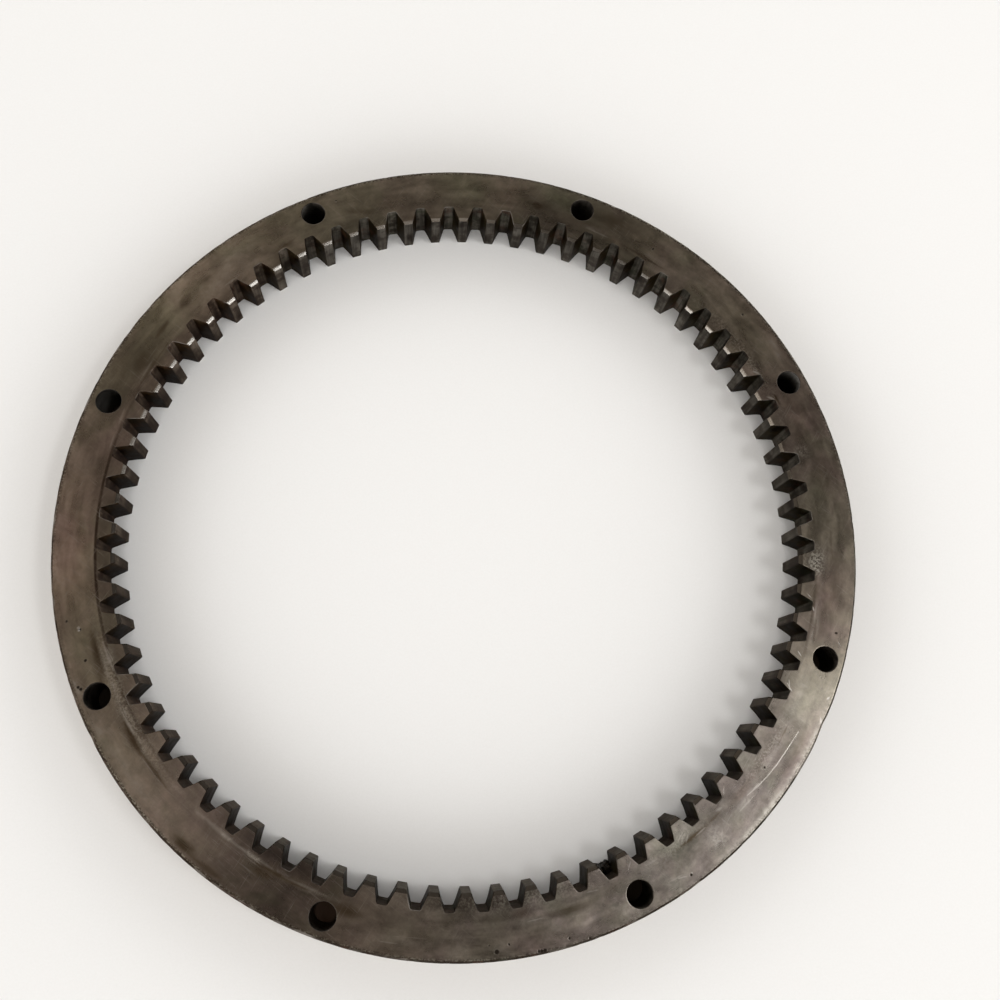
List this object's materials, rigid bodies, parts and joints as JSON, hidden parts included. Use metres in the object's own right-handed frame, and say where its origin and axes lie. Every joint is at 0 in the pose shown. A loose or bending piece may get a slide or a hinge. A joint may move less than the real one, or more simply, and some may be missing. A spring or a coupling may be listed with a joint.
{
  "type": "ring gear",
  "caption": "Flat steel ring gear with straight internal teeth round its bore and a circle of plain bolt holes through its rim.",
  "frame": {"origin": "centre of the bottom face, on the ring's axis", "axes": "+Z along the ring's axis, up through its thickness; +X midway between two bolt holes"},
  "size_m": [0.4139, 0.414, 0.025],
  "materials": {
    "gear_steel": "turned steel, darkened and oily, with light scratches and stains"
  },
  "bodies": {
    "root": {"ring_gear": "gear_steel"}
  },
  "joints": []
}
